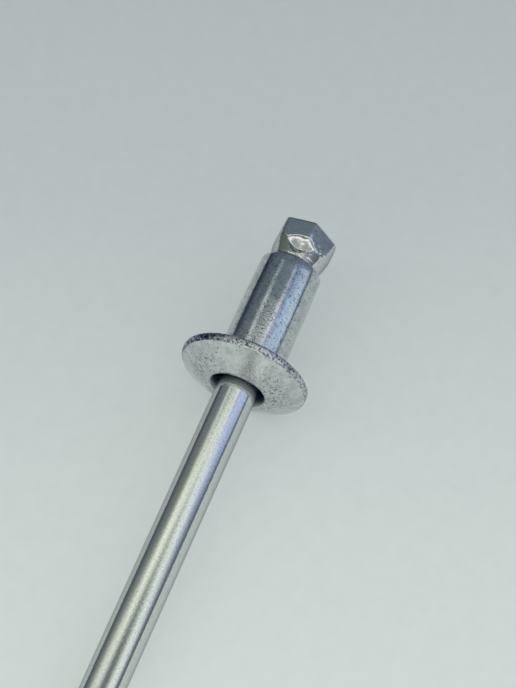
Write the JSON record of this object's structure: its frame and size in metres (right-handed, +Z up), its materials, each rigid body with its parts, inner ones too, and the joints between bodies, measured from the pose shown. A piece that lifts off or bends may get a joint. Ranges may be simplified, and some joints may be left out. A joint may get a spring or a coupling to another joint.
{
  "type": "pop rivet",
  "caption": "Open-end blind rivet, unset: a tubular shank with a domed flange on a long round pull mandrel, whose pinched hexagonal head stands past the shank's end. Lies on its side.",
  "frame": {"origin": "on the surface that the rivet lies on, under the middle of its length and width", "axes": "+X along the rivet towards the mandrel's head, +Z up; the rivet's own axis lies over X and rises 4.9 degrees towards the head"},
  "size_m": [0.035, 0.0064, 0.0064],
  "materials": {
    "rivet_body": "zinc-plated steel, barrel tumbled, fine dents and pits",
    "mandrel": "bright drawn steel wire, fine lengthwise drawing lines, forged head"
  },
  "bodies": {
    "root": {"rivet_body": "rivet_body", "mandrel": "mandrel"}
  },
  "joints": []
}
